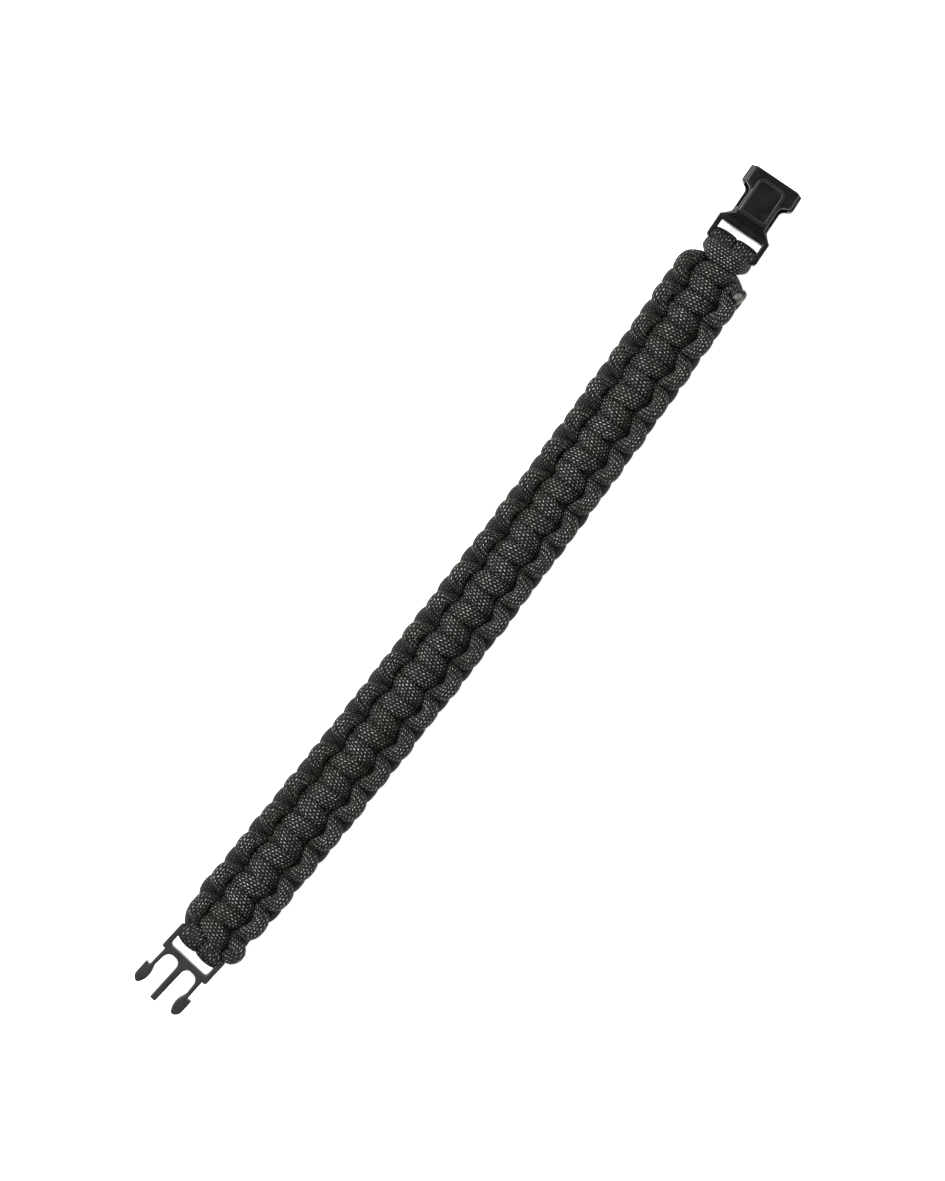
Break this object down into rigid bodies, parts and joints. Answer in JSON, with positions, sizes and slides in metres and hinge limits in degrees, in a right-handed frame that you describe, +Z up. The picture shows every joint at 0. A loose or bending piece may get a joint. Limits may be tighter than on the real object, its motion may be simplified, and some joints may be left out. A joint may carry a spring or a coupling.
{
  "type": "paracord bracelet",
  "caption": "Flat bracelet of black parachute cord in a cobra braid round a two-strand core, with an open side release buckle at its ends.",
  "frame": {"origin": "on the surface that the open band lies on, under the middle of its overall box", "axes": "+X along the band from the plug half to the socket half of the buckle, +Y across the band, +Z up from the surface"},
  "size_m": [0.2539, 0.0208, 0.0099],
  "materials": {
    "cord": "braided nylon sheath, satin",
    "melted_cord": "nylon melted to a glossy button",
    "buckle": "moulded acetal, satin gloss"
  },
  "bodies": {
    "root": {"front_strand": "cord", "back_strand": "cord", "core_strand": "cord", "front_strand_tip": "melted_cord", "back_strand_tip": "melted_cord", "plug_half": "buckle", "socket_half": "buckle"}
  },
  "joints": []
}
